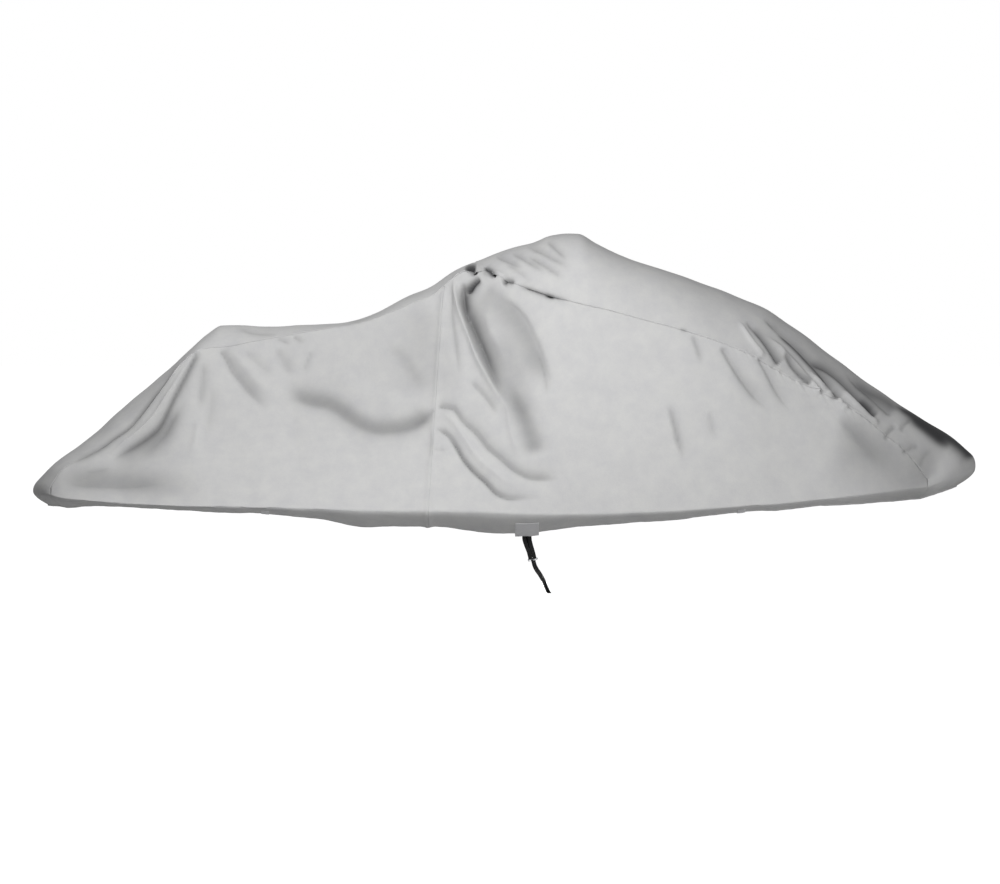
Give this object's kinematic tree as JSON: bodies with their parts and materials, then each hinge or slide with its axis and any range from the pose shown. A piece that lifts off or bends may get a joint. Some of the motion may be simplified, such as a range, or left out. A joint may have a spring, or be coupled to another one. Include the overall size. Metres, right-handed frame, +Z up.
{
  "type": "personal watercraft cover",
  "caption": "Fitted cloth cover for a personal watercraft, seamed from top and side panels, with a rolled hem, hem tabs and a belly strap under the hull.",
  "frame": {"origin": "under the cloth at its highest point, over the handlebar, where the craft carries it", "axes": "+X to the bow, +Y to port, +Z up"},
  "size_m": [3.097, 1.1976, 1.1827],
  "materials": {
    "cover_cloth": "light grey coated polyester, plain weave, dull",
    "tab_webbing": "grey polyester webbing",
    "strap_webbing": "black polyester webbing",
    "slider_metal": "plated steel, satin"
  },
  "bodies": {
    "root": {"seat_panel": "cover_cloth", "hood_panel": "cover_cloth", "side_rear_starboard": "cover_cloth", "side_rear_port": "cover_cloth", "side_front_starboard": "cover_cloth", "side_front_port": "cover_cloth", "hem_tab_aft_starboard": "tab_webbing", "hem_tab_aft_port": "tab_webbing", "hem_tab_strap_starboard": "tab_webbing", "hem_tab_strap_port": "tab_webbing", "hem_tab_fore_starboard": "tab_webbing", "hem_tab_fore_port": "tab_webbing", "strap_leg_aft": "strap_webbing", "strap_leg_fore": "strap_webbing", "belly_strap": "strap_webbing", "strap_slider": "slider_metal"}
  },
  "joints": []
}
